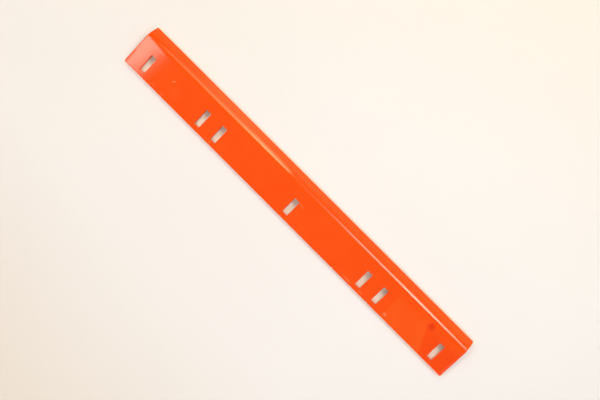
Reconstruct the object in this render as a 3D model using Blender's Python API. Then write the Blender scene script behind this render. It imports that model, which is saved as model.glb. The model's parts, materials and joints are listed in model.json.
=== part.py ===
"""Scraper blade: a steel strip folded once along its length, with seven bolt slots.

It lies ridge up on its two long edges, as it comes to rest on a table.
X runs along the strip, Y crosses it from the slotted flange to the lip, and Z is up.
The origin is on the table, under the middle of the strip.
"""

import math

import bmesh
import bpy
from mathutils import Vector

# Driving dimensions, in metres and radians
BLADE_LENGTH = 0.610
SHEET_THICKNESS = 0.0048
FLANGE_WIDTH = 0.0509  # free edge to the sharp corner where the outer faces would meet
LIP_WIDTH = 0.0187  # the same, on the other side of the fold
BEND_ANGLE = math.radians(45.0)
BEND_INNER_RADIUS = 0.0160
EDGE_RADIUS = 0.0005

# Slots for the square necks of carriage bolts
SLOT_WIDTH = 0.0087
SLOT_LENGTH = 0.0256
SLOT_CORNER_RADIUS = 0.0008
SLOT_EDGE_MARGIN = 0.0070  # metal between a slot and the flange's free edge
END_SLOT_INSET = 0.0280  # blade's end to the middle of its outermost slot
PAIR_NEAR_REACH = 0.1397  # blade's middle to the nearer slot of each pair
PAIR_PITCH = 0.0308

# Fineness of the round stretches
BEND_STEPS = 10
SLOT_CORNER_STEPS = 4
EDGE_STEPS = 3
SHARP_ANGLE = math.radians(50.0)

PAINT_COLOUR = (0.965, 0.089, 0.009, 1.0)
PAINT_ROUGHNESS = 0.12

# Unit vectors of the section plane: along the flange and through its thickness
ALONG_FLANGE = Vector((1.0, 0.0))
UP_FLANGE = Vector((0.0, 1.0))
ALONG_LIP = Vector((math.cos(BEND_ANGLE), -math.sin(BEND_ANGLE)))
UP_LIP = Vector((math.sin(BEND_ANGLE), math.cos(BEND_ANGLE)))


def clear_scene():
    """Start from an empty scene."""
    for old in list(bpy.data.objects):
        bpy.data.objects.remove(old, do_unlink=True)


def arc(centre, radius, start, sweep, steps):
    """Points of a circular arc, both ends included."""
    points = []
    for step in range(steps + 1):
        angle = start + sweep * step / steps
        points.append(centre + radius * Vector((math.cos(angle), math.sin(angle))))
    return points


def section_corners():
    """The four free corners of the section, in the plane of the slotted flange."""
    flange_foot = Vector((0.0, 0.0))
    flange_crown = flange_foot + SHEET_THICKNESS * UP_FLANGE
    outer_corner = flange_crown + FLANGE_WIDTH * ALONG_FLANGE
    lip_crown = outer_corner + LIP_WIDTH * ALONG_LIP
    lip_foot = lip_crown - SHEET_THICKNESS * UP_LIP
    return flange_foot, flange_crown, lip_crown, lip_foot


def section_outline():
    """The whole section: flat flange, fold of even thickness, flat lip."""
    flange_foot, flange_crown, lip_crown, lip_foot = section_corners()
    outer_radius = BEND_INNER_RADIUS + SHEET_THICKNESS
    tangent_length = outer_radius * math.tan(BEND_ANGLE / 2)
    bend_start = FLANGE_WIDTH - tangent_length
    bend_centre = Vector((bend_start, SHEET_THICKNESS - outer_radius))
    quarter = math.pi / 2
    inside = arc(bend_centre, BEND_INNER_RADIUS, quarter, -BEND_ANGLE, BEND_STEPS)
    outside = arc(bend_centre, outer_radius, quarter - BEND_ANGLE, BEND_ANGLE, BEND_STEPS)
    return [flange_foot, *inside, lip_foot, lip_crown, *outside, flange_crown]


def resting_pose():
    """Tilt, Y and Z at which both rounded feet of the section touch the table."""
    flange_foot, flange_crown, lip_crown, lip_foot = section_corners()
    inset = EDGE_RADIUS
    foot_round = flange_foot + inset * (ALONG_FLANGE + UP_FLANGE)
    crown_round = flange_crown + inset * (ALONG_FLANGE - UP_FLANGE)
    lip_foot_round = lip_foot + inset * (UP_LIP - ALONG_LIP)
    lip_crown_round = lip_crown - inset * (UP_LIP + ALONG_LIP)
    reach = lip_foot_round - foot_round
    tilt = math.atan2(-reach.y, reach.x)

    def turned(point):
        return Vector((
            point.x * math.cos(tilt) - point.y * math.sin(tilt),
            point.x * math.sin(tilt) + point.y * math.cos(tilt),
        ))

    near_side = turned(crown_round).x - EDGE_RADIUS
    far_side = turned(lip_crown_round).x + EDGE_RADIUS
    shift_y = -(near_side + far_side) / 2
    shift_z = EDGE_RADIUS - turned(foot_round).y
    return tilt, shift_y, shift_z


def slot_centres():
    """Places of the slots along the blade, symmetric about its middle."""
    end_slot = BLADE_LENGTH / 2 - END_SLOT_INSET
    pair_far = PAIR_NEAR_REACH + PAIR_PITCH
    one_side = (PAIR_NEAR_REACH, pair_far, end_slot)
    return [-x for x in reversed(one_side)] + [0.0] + list(one_side)


def object_from(name, mesh_builder):
    """Turn finished bmesh geometry into a named object."""
    mesh = bpy.data.meshes.new(name)
    mesh_builder.normal_update()
    mesh_builder.to_mesh(mesh)
    mesh_builder.free()
    made = bpy.data.objects.new(name, mesh)
    bpy.context.collection.objects.link(made)
    return made


def extrude_face(builder, corners, travel):
    """Close a ring of corners with a face and pull it along the travel vector."""
    ring = [builder.verts.new(corner) for corner in corners]
    face = builder.faces.new(ring)
    pulled = bmesh.ops.extrude_face_region(builder, geom=[face])
    moved = [item for item in pulled["geom"] if isinstance(item, bmesh.types.BMVert)]
    bmesh.ops.translate(builder, verts=moved, vec=travel)


def folded_strip():
    """The folded section, pulled along the full length of the blade."""
    builder = bmesh.new()
    start = -BLADE_LENGTH / 2
    corners = [(start, point.x, point.y) for point in section_outline()]
    extrude_face(builder, corners, (BLADE_LENGTH, 0.0, 0.0))
    bmesh.ops.recalc_face_normals(builder, faces=builder.faces)
    return object_from("scraper_blade", builder)


def slot_cutter():
    """Seven round-cornered prisms that stand square on the flange and pass through it."""
    builder = bmesh.new()
    half_width = SLOT_WIDTH / 2 - SLOT_CORNER_RADIUS
    low = SLOT_EDGE_MARGIN + SLOT_CORNER_RADIUS
    high = SLOT_EDGE_MARGIN + SLOT_LENGTH - SLOT_CORNER_RADIUS
    rounding_centres = ((half_width, high), (-half_width, high), (-half_width, low), (half_width, low))
    quarter = math.pi / 2
    for middle in slot_centres():
        ring = []
        for turn, (x, y) in enumerate(rounding_centres):
            centre = Vector((middle + x, y))
            ring += arc(centre, SLOT_CORNER_RADIUS, turn * quarter, quarter, SLOT_CORNER_STEPS)
        corners = [(point.x, point.y, -SHEET_THICKNESS) for point in ring]
        extrude_face(builder, corners, (0.0, 0.0, 3 * SHEET_THICKNESS))
    bmesh.ops.recalc_face_normals(builder, faces=builder.faces)
    cutter = object_from("slot_cutter", builder)
    cutter.hide_render = True
    cutter.display_type = "WIRE"
    return cutter


def orange_powder_coat():
    """Glossy orange coating over steel."""
    material = bpy.data.materials.new("orange_powder_coat")
    material.use_nodes = True
    shader = material.node_tree.nodes["Principled BSDF"]
    shader.inputs["Base Color"].default_value = PAINT_COLOUR
    shader.inputs["Roughness"].default_value = PAINT_ROUGHNESS
    shader.inputs["Metallic"].default_value = 0.0
    return material


def build():
    clear_scene()
    blade = folded_strip()
    blade.data.materials.append(orange_powder_coat())
    blade.data.shade_smooth()
    blade.data.set_sharp_from_angle(angle=SHARP_ANGLE)

    cutter = slot_cutter()
    cutter.parent = blade
    punch = blade.modifiers.new("punched_slots", "BOOLEAN")
    punch.operation = "DIFFERENCE"
    punch.solver = "EXACT"
    punch.object = cutter

    ease = blade.modifiers.new("eased_edges", "BEVEL")
    ease.width = EDGE_RADIUS
    ease.segments = EDGE_STEPS
    ease.limit_method = "ANGLE"
    ease.angle_limit = SHARP_ANGLE
    ease.loop_slide = False

    split = blade.modifiers.new("even_triangles", "TRIANGULATE")
    split.ngon_method = "BEAUTY"

    tilt, shift_y, shift_z = resting_pose()
    blade.rotation_euler = (tilt, 0.0, 0.0)
    blade.location = (0.0, shift_y, shift_z)


build()
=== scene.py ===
"""Looks of the scraper blade: a folded, slotted steel strip under a glossy orange powder coat.

The blade lies ridge up on a pale table, and the camera looks down on it from almost
straight above. Lengths are in metres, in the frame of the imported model: X runs along the
blade, Y crosses it from the slotted flange to the lip, and Z is up.
"""

import json
import math

import bpy
from mathutils import Matrix, Vector
from mathutils.geometry import delaunay_2d_cdt


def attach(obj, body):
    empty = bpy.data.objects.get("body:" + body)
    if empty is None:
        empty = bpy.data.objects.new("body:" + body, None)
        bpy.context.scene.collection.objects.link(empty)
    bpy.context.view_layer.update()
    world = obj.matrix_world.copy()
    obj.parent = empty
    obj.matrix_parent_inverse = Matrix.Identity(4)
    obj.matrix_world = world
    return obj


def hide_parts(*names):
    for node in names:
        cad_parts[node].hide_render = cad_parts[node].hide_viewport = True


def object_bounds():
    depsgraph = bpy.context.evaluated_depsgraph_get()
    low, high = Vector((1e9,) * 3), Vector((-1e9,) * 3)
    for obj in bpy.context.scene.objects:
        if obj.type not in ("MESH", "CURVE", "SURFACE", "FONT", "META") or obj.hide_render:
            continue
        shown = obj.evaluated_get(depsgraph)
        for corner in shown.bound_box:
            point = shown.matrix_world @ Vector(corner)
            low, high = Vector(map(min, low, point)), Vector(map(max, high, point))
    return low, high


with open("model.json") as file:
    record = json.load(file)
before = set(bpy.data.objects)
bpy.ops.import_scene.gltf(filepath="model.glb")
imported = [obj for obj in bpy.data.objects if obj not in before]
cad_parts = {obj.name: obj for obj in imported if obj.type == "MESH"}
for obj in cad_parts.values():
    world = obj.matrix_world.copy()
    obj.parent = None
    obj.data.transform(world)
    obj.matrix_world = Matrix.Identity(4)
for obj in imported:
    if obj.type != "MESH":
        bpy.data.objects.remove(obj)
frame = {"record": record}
CAD_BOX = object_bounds()

# The sheet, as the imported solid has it
BLADE_LENGTH = CAD_BOX[1].x - CAD_BOX[0].x
SHEET_THICKNESS = 0.0048
FLANGE_WIDTH = 0.0509  # free edge to the sharp corner where the outer faces would meet
LIP_WIDTH = 0.0187  # the same, on the other side of the fold
BEND_ANGLE = math.radians(45.0)
BEND_INNER_RADIUS = 0.0160
EDGE_RADIUS = 0.0005
SLOT_WIDTH = 0.0087
SLOT_LENGTH = 0.0256
SLOT_CORNER_RADIUS = 0.0008
SLOT_EDGE_MARGIN = 0.0070  # metal between a slot and the flange's free edge
SLOT_MIDDLES = [
    sum(corner[0] for corner in opening["box_m"]) / 2
    for opening in frame["record"]["physics"]["openings"]
]

# The flat blank that the blade is folded from, measured across it from the free edge
BEND_TANGENT = (BEND_INNER_RADIUS + SHEET_THICKNESS) * math.tan(BEND_ANGLE / 2)
BEND_START = FLANGE_WIDTH - BEND_TANGENT
BEND_LENGTH = (BEND_INNER_RADIUS + SHEET_THICKNESS / 2) * BEND_ANGLE
BEND_END = BEND_START + BEND_LENGTH
BLANK_WIDTH = BEND_END + LIP_WIDTH - BEND_TANGENT

# Fineness of the mesh
BEND_STEPS = 24
EDGE_STEPS = 5
CORNER_STEPS = 6
DENT_STEPS = 6
STATION_PITCH = 0.0025
MERGE_DISTANCE = 1e-7
FACE_MARGIN = 0.00008  # ring just inside each flat face, which keeps the face's shading flat
BEND_MARGIN = 0.0005  # the same beside the fold
PLAN_CORNER_RADIUS = 0.0009

# Dents that a hard object left in the free edge: place along the blade, depth, half length
EDGE_DENTS = ((0.098, 0.0006, 0.0035), (0.164, 0.0005, 0.0030))
DENT_REACH = 0.0025  # how far across the flange a dent is felt

# The outer face rolls down at the ends, where the blank was sheared
ROLL_DEPTH = 0.00027
ROLL_REACH = 0.0020
ROLL_STEPS = 4

# Camera: almost straight above, turned so that the blade runs from upper left to lower right
CAMERA_PLACE = Vector((0.02494, -0.02610, 0.95232))
CAMERA_TARGET = Vector((0.00182, 0.00252, 0.0))
CAMERA_TURN = math.radians(45.009)
CAMERA_LENS = 41.64
CAMERA_SENSOR = 36.0

# Paint, in linear light
PAINT_BRIGHT = (0.965, 0.086, 0.0065)
PAINT_DEEP = (0.950, 0.080, 0.0050)
PAINT_GRAIN = (0.900, 0.066, 0.0040)
# Darker paint on the rounded edges: thinner coat, and partly painted shade of the rims
PAINT_THIN_AND_SHADED = (0.700, 0.040, 0.0040)
GRAIN_STRENGTH = 0.22
RIM_THINNING_AND_SHADE = 0.35
GLOSS_LOW = 0.050
GLOSS_HIGH = 0.072
MARK_DULLNESS = 0.03
RIM_DULLNESS = 0.03

# Unevenness of the coat: lumps a metre, detail and roughness of the noise, and the noise values
# at which it starts and is full. The table's is given in the same way.
CLOUDS = (38.0, 3.0, 0.5, 0.35, 0.65)
GRAINS = (1100.0, 1.0, 0.5, 0.55, 0.75)
# Patches in which the rims are darker, from thinner paint and partly from painted shade
RUBBED_AND_SHADED_SPOTS = (420.0, 2.0, 0.5, 0.42, 0.62)
MARK_EDGES = (700.0, 2.0, 0.5, 0.3, 0.7)
HAZE = (90.0, 4.0, 0.6, 0.35, 0.7)
MARK_RAGGEDNESS = 0.35
PEEL_LUMPS = 380.0
PEEL_DEPTH = 0.000014
WAVE_LUMPS = 55.0
WAVE_DEPTH = 0.000007
OUTER_FACE = (0.2, 0.5)  # upward part of the normal over which marks come in

# Marks and painted highlights on the outer face: middle, half lengths, turn, softness, strength and
# colour
MARKS_AND_HIGHLIGHTS = (
    ((0.2485, 0.0067), (0.0040, 0.0044), 0.0, 0.85, 0.90, (0.80, 0.034, 0.004)),
    ((-0.2340, -0.0053), (0.0030, 0.0007), math.radians(50.0), 0.5, 0.55, (0.95, 0.42, 0.22)),
    ((-0.2223, -0.0158), (0.0085, 0.0060), 0.0, 0.9, 0.45, (0.95, 0.115, 0.020)),
    ((-0.2524, -0.0281), (0.0025, 0.0010), 0.0, 0.7, 0.13, (0.95, 0.50, 0.30)),
    ((-0.2353, -0.0295), (0.0020, 0.0009), 0.0, 0.7, 0.20, (0.95, 0.45, 0.25)),
    ((-0.1420, -0.0290), (0.0010, 0.0014), 0.0, 0.7, 0.30, (0.95, 0.50, 0.20)),
    # The next two are painted highlights on the outer face beside the free edge
    ((0.1230, -0.0288), (0.0060, 0.0014), 0.0, 0.8, 0.22, (0.95, 0.40, 0.20)),
    ((0.1486, -0.0288), (0.0030, 0.0012), 0.0, 0.8, 0.22, (0.95, 0.40, 0.20)),
    ((0.1931, -0.0262), (0.0023, 0.0019), 0.0, 0.8, 0.42, (0.95, 0.40, 0.22)),
    ((0.0102, -0.0024), (0.0036, 0.0010), math.radians(-14.0), 0.8, 0.60, (0.94, 0.25, 0.09)),
    ((-0.2773, -0.0275), (0.0035, 0.0016), 0.0, 0.8, 0.35, (0.75, 0.10, 0.03)),
)

# A thin film near the right end. It starts at a line across the blade and ends at a slanted
# one, where the paint beyond was wiped clean. Its strength follows a broken line between them.
FILM_START = 0.1895
FILM_LENGTH = 0.055
FILM_EDGE = 0.0015  # half the width over which it starts or ends
FILM_WEAR = (-0.004, 0.014)  # Y over which it fades out towards the fold
FILM_STOPS = ((0.0, 0.70), (0.22, 0.70), (0.35, 0.45), (0.70, 0.45), (0.88, 0.85), (1.0, 0.90))
PAINT_FILM = (0.955, 0.108, 0.012)
PAINT_WIPED = (0.945, 0.072, 0.0055)
WIPE_DIRECTION = (0.884, 0.466, 0.0)
WIPE_REACH = 0.217

# Table and room
TABLE_BRIGHT = (0.881, 0.852, 0.985)
TABLE_SHADED = (0.730, 0.630, 0.600)
TABLE_BRIGHT_MIDDLE = (0.22, 0.10, 0.0)
SHADE_OUTWARD = (0.15, 0.8, 0.0, 0.33)  # two distances, and the shade at each
SHADE_NEAR = (-0.60, -0.20, 0.67, 0.0)  # the same with two values of Y
SHADE_FAR = (0.15, 0.60, 0.0, 0.25)
TABLE_CLOUDS = (3.0, 2.0, 0.5, 0.3, 0.7)
TABLE_CLOUD_DEPTH = 0.02
# Painted light: the table beside and under the blade is warmer and brighter, which also lightens the
# blade's shadow there
TABLE_PAINTED_GLOW = (0.950, 0.925, 0.915)  # warmer, as from light that the paint returns
BLADE_GLOW_REACH = 0.0045
TABLE_SPECKS = (260.0, 1.0, 0.5, 0.76, 0.84)
TABLE_SPECK = (0.70, 0.60, 0.50)
SPECK_STRENGTH = 0.12
TABLE_GRAIN_LUMPS = 900.0
TABLE_GRAIN_DEPTH = 0.00002
TABLE_ROUGHNESS = 0.75
TABLE_SPECULAR = 0.25
TABLE_HALF_WIDTH = 30.0
BACKDROP_COLOUR = (0.94, 0.89, 0.82)
BACKDROP_NEAR = 0.44
BACKDROP_FAR = 0.90
LAMP_HEIGHT = 1.5
LEFT_COLOUR = (1.0, 0.97, 0.85)
NEAR_COLOUR = (1.0, 0.97, 0.83)
COOL_LIGHT = (0.88, 0.95, 1.0)
SKY_LIGHT = (0.72, 0.88, 1.0)
KEY_COLOUR = (1.0, 0.97, 0.82)
WINDOW_COLOUR = (1.0, 0.90, 0.46)
NEAR_ROOM = ((0.0, 1.1), (0.14, 1.1), (0.22, 0.10), (1.0, 0.10))
FAR_ROOM = ((0.0, 0.35), (0.14, 0.35), (0.22, 0.70), (0.45, 0.70), (0.53, 0.10), (1.0, 0.10))
FAR_ROOM_COLOUR = (1.0, 0.88, 0.40)
ROOM_BLEND = 0.15

# Lamps: middle, size, radiance and colour
LEFT_LIGHT = ((-0.94, -0.16), (0.447, 1.60), 6.6, LEFT_COLOUR)
KEY_LIGHT = ((0.45, 1.205), (1.2, 1.03), 14.7, KEY_COLOUR)
FAR_WINDOW = ((-0.568, 2.01), (0.79, 2.58), 10.4, WINDOW_COLOUR)
WINDOW_GLOW = ((-0.60, 4.4), (1.8, 2.2), 0.9, WINDOW_COLOUR)
NEAR_LIGHT = ((0.40, -1.10), (1.1, 0.70), 6.4, NEAR_COLOUR)
FAR_LEFT_LIGHT = ((-1.55, -0.3), (0.8, 1.4), 2.0, COOL_LIGHT)
RIGHT_LIGHT = ((1.35, -0.2), (0.8, 1.0), 0.7, SKY_LIGHT)
FAR_RIGHT_LIGHT = ((1.25, 0.95), (0.62, 1.3), 1.8, SKY_LIGHT)

# Strength of the left lamp from its middle out, and of others along the blade and across it
LEFT_OUTWARD = ((0.0, 1.0), (0.72, 1.0), (0.85, 0.5), (0.89, 0.22), (0.95, 0.12), (1.0, 0.0))
KEY_ALONG = (
    (0.0, 0.0), (0.10, 0.05), (0.167, 0.09), (0.233, 0.22), (0.30, 0.38), (0.367, 0.47),
    (0.442, 0.55), (0.50, 0.62), (0.558, 0.98), (0.625, 0.95), (0.692, 0.78), (0.758, 0.58),
    (0.808, 0.36), (0.917, 0.0),
)
KEY_ACROSS = ((0.0, 0.0), (0.10, 0.75), (0.24, 1.0), (0.42, 1.0), (0.60, 0.45), (0.90, 0.0))
WINDOW_ALONG = (
    (0.0, 0.20), (0.107, 0.24), (0.213, 0.28), (0.32, 0.37), (0.427, 0.49), (0.52, 0.52),
    (0.627, 0.74), (0.72, 1.0), (0.80, 0.90), (0.88, 0.80), (0.955, 0.60), (0.975, 0.0),
)
WINDOW_TURN = math.radians(6.0)
WINDOW_ACROSS = (
    (0.0, 0.0), (0.05, 0.5), (0.11, 1.0), (0.20, 0.95), (0.30, 0.75), (0.48, 0.42),
    (0.79, 0.3), (1.0, 0.1),
)
GLOW_ALONG = ((0.0, 0.0), (0.21, 1.0), (0.40, 1.0), (0.50, 0.50), (0.75, 0.35), (1.0, 0.0))
GLOW_ACROSS = ((0.0, 0.6), (0.4, 1.0), (1.0, 1.0))


def plain_colours():
    """Colour handling in which a written colour renders as written."""
    bpy.context.scene.view_settings.view_transform = "Standard"


def arc(centre, radius, start, sweep, steps):
    """Points of a circular arc, both ends included."""
    points = []
    for step in range(steps + 1):
        angle = start + sweep * step / steps
        points.append(centre + radius * Vector((math.cos(angle), math.sin(angle))))
    return points


def rounded_rectangle(low, high, radius, x_stops=(), y_stops=()):
    """Anticlockwise points of a round-cornered rectangle, with extra points along its sides."""
    sides = (
        [Vector((x, low.y)) for x in x_stops],
        [Vector((high.x, y)) for y in y_stops],
        [Vector((x, high.y)) for x in reversed(x_stops)],
        [Vector((low.x, y)) for y in reversed(y_stops)],
    )
    inner_low = low + Vector((radius, radius))
    inner_high = high - Vector((radius, radius))
    centres = (
        Vector((inner_high.x, inner_low.y)),
        inner_high,
        Vector((inner_low.x, inner_high.y)),
        inner_low,
    )
    quarter = math.pi / 2
    points = []
    for turn, (side, centre) in enumerate(zip(sides, centres)):
        points += side
        points += arc(centre, radius, (turn - 1) * quarter, quarter, CORNER_STEPS)
    return points


def stations():
    """Places along the blade that get a row of points, closer together at its dents and ends."""
    count = round(BLADE_LENGTH / STATION_PITCH)
    places = {round((step / count - 0.5) * BLADE_LENGTH, 6) for step in range(1, count)}
    for middle, _, reach in EDGE_DENTS:
        steps = range(-DENT_STEPS, DENT_STEPS + 1)
        places |= {round(middle + reach * step / DENT_STEPS, 6) for step in steps}
    roll_pitch = (ROLL_REACH - PLAN_CORNER_RADIUS) / ROLL_STEPS
    for step in range(ROLL_STEPS):
        place = round(BLADE_LENGTH / 2 - ROLL_REACH + step * roll_pitch, 6)
        places |= {-place, place}
    return sorted(places)


def bend_lines():
    """Distances across the blank that get a line of points, so that the fold comes out round."""
    curved = [BEND_START + BEND_LENGTH * step / BEND_STEPS for step in range(BEND_STEPS + 1)]
    return [BEND_START - BEND_MARGIN, *curved, BEND_END + BEND_MARGIN]


def blank_outline(inset):
    """Outer contour of the blank, inset from its true edge."""
    corner = Vector((BLADE_LENGTH / 2 - inset, BLANK_WIDTH / 2 - inset))
    middle = Vector((0.0, BLANK_WIDTH / 2))
    radius = PLAN_CORNER_RADIUS - inset
    return rounded_rectangle(middle - corner, middle + corner, radius, stations(), bend_lines())


def slot_outline(middle, inset):
    """Contour of one slot, inset into the metal round it. It runs clockwise, metal on the left."""
    low = Vector((middle - SLOT_WIDTH / 2 - inset, SLOT_EDGE_MARGIN - inset))
    high = Vector((middle + SLOT_WIDTH / 2 + inset, SLOT_EDGE_MARGIN + SLOT_LENGTH + inset))
    return rounded_rectangle(low, high, SLOT_CORNER_RADIUS + inset)[::-1]


def edge_profile():
    """Inset and height round an edge of the sheet, from the outer face to the inner one."""
    profile = [(EDGE_RADIUS + FACE_MARGIN, SHEET_THICKNESS)]
    for step in range(EDGE_STEPS + 1):
        angle = math.pi / 2 * step / EDGE_STEPS
        inset = EDGE_RADIUS * (1 - math.sin(angle))
        profile.append((inset, SHEET_THICKNESS - EDGE_RADIUS * (1 - math.cos(angle))))
    for step in range(EDGE_STEPS + 1):
        angle = math.pi / 2 * step / EDGE_STEPS
        inset = EDGE_RADIUS * (1 - math.cos(angle))
        profile.append((inset, EDGE_RADIUS * (1 - math.sin(angle))))
    profile.append((EDGE_RADIUS + FACE_MARGIN, 0.0))
    return profile


def dented(point):
    """A point of the blank, pushed inward where something struck the free edge."""
    fade = max(0.0, 1 - point.y / DENT_REACH)
    push = 0.0
    for middle, depth, reach in EDGE_DENTS:
        offset = abs(point.x - middle) / reach
        if offset < 1:
            push += depth * math.cos(offset * math.pi / 2) ** 2
    return Vector((point.x, point.y + push * fade))


def rolled(point, height):
    """Height of a point in the sheet, let down where the outer face rolls over at the ends."""
    past = abs(point.x) - (BLADE_LENGTH / 2 - ROLL_REACH)
    share = min(max(past / ROLL_REACH, 0.0), 1.0)
    return height - ROLL_DEPTH * share * share * height / SHEET_THICKNESS


def folded(point, flat_height):
    """Where a point of the blank lies once the lip is folded down, in the flange's plane."""
    height = rolled(point, flat_height)
    before = min(point.y, BEND_START)
    past = max(point.y - BEND_END, 0.0)
    turn = (point.y - before - past) / BEND_LENGTH * BEND_ANGLE
    radius = BEND_INNER_RADIUS + height
    across = before + radius * math.sin(turn) + past * math.cos(turn)
    up = radius * math.cos(turn) - BEND_INNER_RADIUS - past * math.sin(turn)
    return (point.x, across, up)


def face_triangles(contours):
    """Points of a flat face with its slots left out, and the triangles between them.

    The contours' own points come first, the blank's and then the slots', and last the lines
    along the fold. A triangle between points of one slot alone lies in its opening.
    """
    points = []
    edges = []
    contour_of = []  # for each point, 0 stands for the blank and its fold
    for number, contour in enumerate(contours):
        first = len(points)
        count = len(contour)
        points += contour
        contour_of += [number] * count
        edges += [(first + turn, first + (turn + 1) % count) for turn in range(count)]
    for across in bend_lines():
        first = len(points)
        points += [Vector((x, across)) for x in stations()]
        contour_of += [0] * len(stations())
        edges += [(spot, spot + 1) for spot in range(first, len(points) - 1)]
    _, _, faces, origins, _, _ = delaunay_2d_cdt(points, edges, [], 0, MERGE_DISTANCE)
    source = [origin[0] for origin in origins]
    triangles = []
    for face in faces:
        triangle = [source[corner] for corner in face]
        touched = {contour_of[corner] for corner in triangle}
        if len(touched) > 1 or 0 in touched:
            triangles.append(triangle)
    return points, triangles


def blade_mesh():
    """The folded sheet: outer face, inner face, and the rounded edges that join them."""
    profile = edge_profile()
    rings = [[blank_outline(inset) for inset, _ in profile]]
    rings += [[slot_outline(middle, inset) for inset, _ in profile] for middle in SLOT_MIDDLES]

    flat_points, triangles = face_triangles([contour[0] for contour in rings])
    face_size = len(flat_points)
    vertices = [folded(dented(point), SHEET_THICKNESS) for point in flat_points]
    vertices += [folded(dented(point), 0.0) for point in flat_points]
    faces = [tuple(triangle) for triangle in triangles]
    faces += [tuple(corner + face_size for corner in reversed(triangle)) for triangle in triangles]
    edge_share = [0.0] * len(vertices)

    start = 0
    for contour in rings:
        count = len(contour[0])
        upper = list(range(start, start + count))
        last = [corner + face_size for corner in upper]
        start += count
        for level in range(1, len(profile)):
            if level < len(profile) - 1:
                height = profile[level][1]
                lower = list(range(len(vertices), len(vertices) + count))
                vertices += [folded(dented(point), height) for point in contour[level]]
                edge_share += [1.0] * count
            else:
                lower = last
            for turn in range(count):
                following = (turn + 1) % count
                faces.append((upper[turn], lower[turn], lower[following], upper[following]))
            upper = lower

    mesh = bpy.data.meshes.new("painted_blade")
    mesh.from_pydata(vertices, [], faces)
    mesh.shade_smooth()
    edge = mesh.attributes.new("edge", "FLOAT", "POINT")
    edge.data.foreach_set("value", edge_share)
    mesh.validate()
    return mesh


def resting_tilt():
    """Turn about X at which the rounded feet of the flange and the lip are level."""
    near = Vector(folded(Vector((0.0, EDGE_RADIUS)), EDGE_RADIUS))
    far = Vector(folded(Vector((0.0, BLANK_WIDTH - EDGE_RADIUS)), EDGE_RADIUS))
    return -math.atan2(far.z - near.z, far.y - near.y)


def painted_blade():
    """The blade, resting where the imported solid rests."""
    mesh = blade_mesh()
    mesh.transform(Matrix.Rotation(resting_tilt(), 4, "X"))
    low_y = min(vertex.co.y for vertex in mesh.vertices)
    low_z = min(vertex.co.z for vertex in mesh.vertices)
    mesh.transform(Matrix.Translation((0.0, CAD_BOX[0].y - low_y, CAD_BOX[0].z - low_z)))
    mesh.materials.append(orange_powder_coat())
    blade = bpy.data.objects.new("painted_blade", mesh)
    bpy.context.scene.collection.objects.link(blade)
    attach(blade, "root")
    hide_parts("scraper_blade")


def add_node(tree, kind, inputs=None, **settings):
    """A shader node with its settings, and its inputs as values or as other nodes' outputs."""
    node = tree.nodes.new("ShaderNode" + kind)
    for name, value in settings.items():
        setattr(node, name, value)
    for name, value in (inputs or {}).items():
        if isinstance(value, bpy.types.NodeSocket):
            tree.links.new(value, node.inputs[name])
        else:
            node.inputs[name].default_value = value
    return node


def blend(tree, share, first, second):
    """A colour between two others, as the share goes from 0 to 1."""
    mixed = add_node(tree, "Mix", {0: share}, data_type="RGBA")
    for socket, colour in ((6, first), (7, second)):
        if isinstance(colour, bpy.types.NodeSocket):
            tree.links.new(colour, mixed.inputs[socket])
        else:
            mixed.inputs[socket].default_value = (*colour, 1.0)
    return mixed.outputs[2]


def combine(tree, operation, first, second):
    """The result of a sum, product or the like of two values."""
    return add_node(tree, "Math", {0: first, 1: second}, operation=operation).outputs[0]


def spread(tree, value, low, high, at_low, at_high, smooth=False):
    """A value rescaled from one range to another, and held at the ends."""
    kind = "SMOOTHSTEP" if smooth else "LINEAR"
    ranges = {"Value": value, 1: low, 2: high, 3: at_low, 4: at_high}
    return add_node(tree, "MapRange", ranges, interpolation_type=kind).outputs[0]


def ramp(tree, value, stops):
    """A value that follows a broken line through the stops, over the range from 0 to 1."""
    node = add_node(tree, "ValToRGB", {0: value})
    elements = node.color_ramp.elements
    while len(elements) < len(stops):
        elements.new(1.0)
    for element, (place, level) in zip(elements, stops):
        element.position = place
        element.color = (level, level, level, 1.0)
    return node.outputs[0]


def noise(tree, place, scale, detail=2.0, roughness=0.5):
    """Soft random values between 0 and 1, with about the given number of lumps a metre."""
    inputs = {"Vector": place, "Scale": scale, "Detail": detail, "Roughness": roughness}
    return add_node(tree, "TexNoise", inputs).outputs[0]


def uneven(tree, place, pattern, at_low, at_high):
    """A value that wanders between two others as its pattern of lumps says."""
    scale, detail, roughness, low, high = pattern
    lumps = noise(tree, place, scale, detail, roughness)
    return spread(tree, lumps, low, high, at_low, at_high)


def mark_share(tree, place, ragged, middle, reach, turn, softness):
    """How much of a small oval mark on the outer face covers a point, from 0 to 1."""
    frame_of_mark = {
        "Vector": place,
        "Location": (*middle, 0.0),
        "Rotation": (0.0, 0.0, turn),
        "Scale": (*reach, 1.0),
    }
    local = add_node(tree, "Mapping", frame_of_mark, vector_type="TEXTURE")
    level = {0: local.outputs[0], 1: (1.0, 1.0, 0.0)}
    flat = add_node(tree, "VectorMath", level, operation="MULTIPLY")
    distance = add_node(tree, "VectorMath", {0: flat.outputs[0]}, operation="LENGTH").outputs["Value"]
    frayed = combine(tree, "ADD", distance, ragged)
    return spread(tree, frayed, 1.0 - softness, 1.0 + softness, 1.0, 0.0, True)


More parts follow.
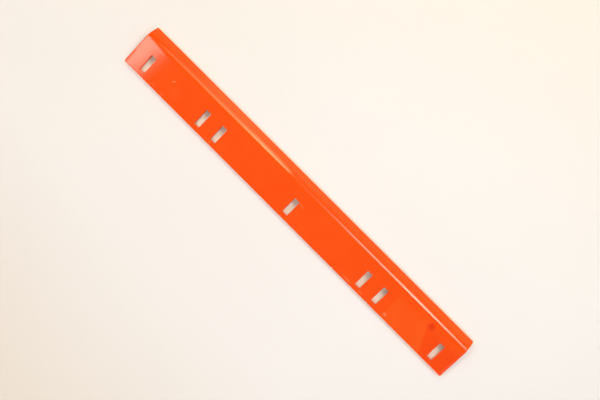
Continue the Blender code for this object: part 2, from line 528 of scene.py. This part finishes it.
def filmed(tree, place, colour):
    """The colour with the thin film near the right end, and the wiped paint beyond it."""
    along = add_node(tree, "VectorMath", {0: place, 1: WIPE_DIRECTION}, operation="DOT_PRODUCT")
    wiped = along.outputs["Value"]
    parts = add_node(tree, "SeparateXYZ", {0: place}).outputs
    worn = spread(tree, parts["Y"], *FILM_WEAR, 1.0, 0.0, True)

    covered = spread(tree, wiped, WIPE_REACH - FILM_LENGTH, WIPE_REACH, 0.0, 1.0)
    film = ramp(tree, covered, FILM_STOPS)
    started = spread(tree, parts["X"], FILM_START - FILM_EDGE, FILM_START + FILM_EDGE, 0.0, 1.0)
    film = combine(tree, "MULTIPLY", combine(tree, "MULTIPLY", film, started), worn)
    colour = blend(tree, film, colour, PAINT_FILM)

    ended = spread(tree, wiped, WIPE_REACH - FILM_EDGE, WIPE_REACH + FILM_EDGE, 0.0, 1.0)
    return blend(tree, combine(tree, "MULTIPLY", ended, worn), colour, PAINT_WIPED)


def marked_and_highlighted(tree, place, colour):
    """The colour with the marks and painted highlights on the outer face, and how strongly any of them
    covers each point.
    """
    ragged = uneven(tree, place, MARK_EDGES, -MARK_RAGGEDNESS, MARK_RAGGEDNESS)
    normal = add_node(tree, "TexCoord").outputs["Normal"]
    upward = add_node(tree, "SeparateXYZ", {0: normal}).outputs["Z"]
    outer = spread(tree, upward, *OUTER_FACE, 0.0, 1.0)
    strongest = 0.0
    for middle, reach, turn, softness, strength, tint in MARKS_AND_HIGHLIGHTS:
        share = mark_share(tree, place, ragged, middle, reach, turn, softness)
        share = combine(tree, "MULTIPLY", share, outer)
        share = combine(tree, "MULTIPLY", share, strength)
        colour = blend(tree, share, colour, tint)
        strongest = combine(tree, "MAXIMUM", share, strongest)
    return colour, strongest


def orange_powder_coat():
    """Glossy orange coating with the fine waves that powder leaves as it flows, its marks, and painted
    highlights.
    """
    material = bpy.data.materials.new("orange_powder_coat")
    material.use_nodes = True
    tree = material.node_tree
    shader = tree.nodes["Principled BSDF"]
    place = add_node(tree, "TexCoord").outputs["Object"]

    colour = blend(tree, uneven(tree, place, CLOUDS, 0.0, 1.0), PAINT_DEEP, PAINT_BRIGHT)
    colour = blend(tree, uneven(tree, place, GRAINS, 0.0, GRAIN_STRENGTH), colour, PAINT_GRAIN)
    rim = add_node(tree, "Attribute", attribute_name="edge").outputs["Fac"]
    rubbed_and_shaded = uneven(tree, place, RUBBED_AND_SHADED_SPOTS, 0.0, RIM_THINNING_AND_SHADE)
    # Rounded edges darker in patches: thinner paint there, and partly painted shade of the rims
    colour = blend(tree, combine(tree, "MULTIPLY", rim, rubbed_and_shaded), colour, PAINT_THIN_AND_SHADED)
    colour = filmed(tree, place, colour)
    colour, dull = marked_and_highlighted(tree, place, colour)
    tree.links.new(colour, shader.inputs["Base Color"])

    rough = uneven(tree, place, HAZE, GLOSS_LOW, GLOSS_HIGH)
    rough = combine(tree, "ADD", rough, combine(tree, "MULTIPLY", dull, MARK_DULLNESS))
    rough = combine(tree, "ADD", rough, combine(tree, "MULTIPLY", rim, RIM_DULLNESS))
    tree.links.new(rough, shader.inputs["Roughness"])

    peel = {"Height": noise(tree, place, PEEL_LUMPS, 1.0), "Distance": PEEL_DEPTH, "Strength": 1.0}
    fine = add_node(tree, "Bump", peel).outputs[0]
    waves = {"Height": noise(tree, place, WAVE_LUMPS, 1.0), "Distance": WAVE_DEPTH, "Strength": 1.0}
    broad = add_node(tree, "Bump", {**waves, "Normal": fine}).outputs[0]
    tree.links.new(broad, shader.inputs["Normal"])
    return material


def pale_table():
    """Matt warm white, a little uneven, with painted shade away from its bright middle and painted
    light beside the blade, that passes into a plain backdrop far from the blade.
    """
    material = bpy.data.materials.new("pale_table")
    material.use_nodes = True
    tree = material.node_tree
    shader = tree.nodes["Principled BSDF"]
    place = add_node(tree, "TexCoord").outputs["Object"]
    ends = {0: place, 1: TABLE_BRIGHT_MIDDLE}
    outward = add_node(tree, "VectorMath", ends, operation="DISTANCE").outputs["Value"]
    parts = add_node(tree, "SeparateXYZ", {0: place}).outputs
    clouds = uneven(tree, place, TABLE_CLOUDS, -TABLE_CLOUD_DEPTH, TABLE_CLOUD_DEPTH)
    shade = combine(tree, "ADD", spread(tree, outward, *SHADE_OUTWARD), clouds)
    shade = combine(tree, "ADD", shade, spread(tree, parts["Y"], *SHADE_NEAR))
    shade = combine(tree, "ADD", shade, spread(tree, parts["Y"], *SHADE_FAR))
    colour = blend(tree, shade, TABLE_BRIGHT, TABLE_SHADED)
    # Painted light beside and under the blade, as from light that the paint returns
    past_end = combine(tree, "SUBTRACT", combine(tree, "ABSOLUTE", parts["X"], 0.0), CAD_BOX[1].x)
    past_side = combine(tree, "SUBTRACT", combine(tree, "ABSOLUTE", parts["Y"], 0.0), CAD_BOX[1].y)
    clear = combine(tree, "MAXIMUM", past_end, past_side)
    painted_glow = spread(tree, clear, 0.0, BLADE_GLOW_REACH, 1.0, 0.0, True)
    colour = blend(tree, painted_glow, colour, TABLE_PAINTED_GLOW)
    specks = uneven(tree, place, TABLE_SPECKS, 0.0, SPECK_STRENGTH)
    colour = blend(tree, specks, colour, TABLE_SPECK)
    tree.links.new(colour, shader.inputs["Base Color"])
    shader.inputs["Roughness"].default_value = TABLE_ROUGHNESS
    shader.inputs["Specular IOR Level"].default_value = TABLE_SPECULAR
    grain = {"Height": noise(tree, place, TABLE_GRAIN_LUMPS), "Distance": TABLE_GRAIN_DEPTH}
    tree.links.new(add_node(tree, "Bump", grain).outputs[0], shader.inputs["Normal"])

    distance = add_node(tree, "VectorMath", {0: place}, operation="LENGTH").outputs["Value"]
    fade = spread(tree, distance, BACKDROP_NEAR, BACKDROP_FAR, 0.0, 1.0, True)
    rays = add_node(tree, "LightPath").outputs
    seen = combine(tree, "MAXIMUM", rays["Is Camera Ray"], rays["Is Glossy Ray"])
    seen = combine(tree, "MAXIMUM", seen, rays["Is Transmission Ray"])
    backdrop = add_node(tree, "Emission", {"Color": (*BACKDROP_COLOUR, 1.0)})
    both = add_node(tree, "MixShader", {0: combine(tree, "MULTIPLY", fade, seen)})
    tree.links.new(shader.outputs[0], both.inputs[1])
    tree.links.new(backdrop.outputs[0], both.inputs[2])
    tree.links.new(both.outputs[0], tree.nodes["Material Output"].inputs["Surface"])
    material.cycles.emission_sampling = "NONE"
    return material


def table():
    """A wide pale table under the blade."""
    mesh = bpy.data.meshes.new("table")
    half = TABLE_HALF_WIDTH
    corners = [(-half, -half, 0.0), (half, -half, 0.0), (half, half, 0.0), (-half, half, 0.0)]
    mesh.from_pydata(corners, [], [(0, 1, 2, 3)])
    mesh.materials.append(pale_table())
    surface = bpy.data.objects.new("table", mesh)
    bpy.context.scene.collection.objects.link(surface)


def hang_lamp(name, middle, size, radiance, colour, turn=0.0):
    """A level lamp over the table, facing down. Its power is its radiance times pi times its area."""
    lamp = bpy.data.lights.new(name, "AREA")
    lamp.shape = "RECTANGLE"
    lamp.size, lamp.size_y = size
    lamp.energy = radiance * math.pi * size[0] * size[1]
    lamp.color = colour
    holder = bpy.data.objects.new(name, lamp)
    holder.location = (*middle, LAMP_HEIGHT)
    holder.rotation_euler = (0.0, 0.0, turn)
    bpy.context.scene.collection.objects.link(holder)
    return lamp


def shade_lamp(lamp, along_stops, across_stops):
    """Let a lamp's strength follow one broken line along the blade and another across it."""
    lamp.use_nodes = True
    tree = lamp.node_tree
    spot = add_node(tree, "NewGeometry").outputs["Parametric"]
    parts = add_node(tree, "SeparateXYZ", {0: spot}).outputs
    along = ramp(tree, parts["X"], along_stops)
    across = ramp(tree, parts["Y"], across_stops)
    tree.links.new(combine(tree, "MULTIPLY", along, across), tree.nodes["Emission"].inputs["Strength"])


def shade_round(lamp, outward_stops):
    """Let a lamp's strength follow a broken line from its middle out to its rim."""
    lamp.use_nodes = True
    tree = lamp.node_tree
    spot = add_node(tree, "NewGeometry").outputs["Parametric"]
    middle = (0.5, 0.5, 0.0)  # a place on the lamp runs from 0 to 1 each way
    offset = add_node(tree, "VectorMath", {0: spot, 1: middle}, operation="SUBTRACT")
    doubled = {0: offset.outputs[0], 1: (2.0, 2.0, 0.0)}
    flat = add_node(tree, "VectorMath", doubled, operation="MULTIPLY")
    outward = add_node(tree, "VectorMath", {0: flat.outputs[0]}, operation="LENGTH").outputs["Value"]
    tree.links.new(ramp(tree, outward, outward_stops), tree.nodes["Emission"].inputs["Strength"])


def hang_lamps():
    """Eight soft lamps over the table, four of them uneven as windows and softboxes are."""
    shade_round(hang_lamp("left_light", *LEFT_LIGHT), LEFT_OUTWARD)
    shade_lamp(hang_lamp("key_light", *KEY_LIGHT), KEY_ALONG, KEY_ACROSS)
    shade_lamp(hang_lamp("far_window", *FAR_WINDOW, WINDOW_TURN), WINDOW_ALONG, WINDOW_ACROSS)
    shade_lamp(hang_lamp("window_glow", *WINDOW_GLOW), GLOW_ALONG, GLOW_ACROSS)
    hang_lamp("near_light", *NEAR_LIGHT)
    hang_lamp("far_left_light", *FAR_LEFT_LIGHT)
    hang_lamp("right_light", *RIGHT_LIGHT)
    hang_lamp("far_right_light", *FAR_RIGHT_LIGHT)


def surround_room():
    """A room that is bright near the floor on the near side, and dim and warm on the far side.

    The camera sees a plain pale backdrop instead, while the paint reflects the room.
    """
    world = bpy.data.worlds.new("studio")
    bpy.context.scene.world = world
    world.use_nodes = True
    tree = world.node_tree
    background = tree.nodes["Background"]
    direction = add_node(tree, "TexCoord").outputs["Generated"]
    parts = add_node(tree, "SeparateXYZ", {0: direction}).outputs
    near_side = ramp(tree, parts["Z"], NEAR_ROOM)
    far_side = blend(tree, ramp(tree, parts["Z"], FAR_ROOM), (0.0, 0.0, 0.0), FAR_ROOM_COLOUR)
    across = spread(tree, parts["Y"], -ROOM_BLEND, ROOM_BLEND, 0.0, 1.0, True)
    room = blend(tree, across, near_side, far_side)
    rays = add_node(tree, "LightPath").outputs
    seen = combine(tree, "MAXIMUM", rays["Is Camera Ray"], rays["Is Transmission Ray"])
    tree.links.new(blend(tree, seen, room, BACKDROP_COLOUR), background.inputs["Color"])


def camera():
    """The camera over the blade, placed and turned so that the view is the photograph's."""
    data = bpy.data.cameras.new("camera")
    data.lens = CAMERA_LENS
    data.sensor_width = CAMERA_SENSOR
    forward = (CAMERA_TARGET - CAMERA_PLACE).normalized()
    right = Vector((math.cos(CAMERA_TURN), math.sin(CAMERA_TURN), 0.0))
    right = (right - right.dot(forward) * forward).normalized()
    up = right.cross(forward)
    holder = bpy.data.objects.new("camera", data)
    holder.matrix_world = Matrix((
        (right.x, up.x, -forward.x, CAMERA_PLACE.x),
        (right.y, up.y, -forward.y, CAMERA_PLACE.y),
        (right.z, up.z, -forward.z, CAMERA_PLACE.z),
        (0.0, 0.0, 0.0, 1.0),
    ))
    bpy.context.scene.collection.objects.link(holder)
    bpy.context.scene.camera = holder


plain_colours()
camera()
hang_lamps()
surround_room()
table()
painted_blade()
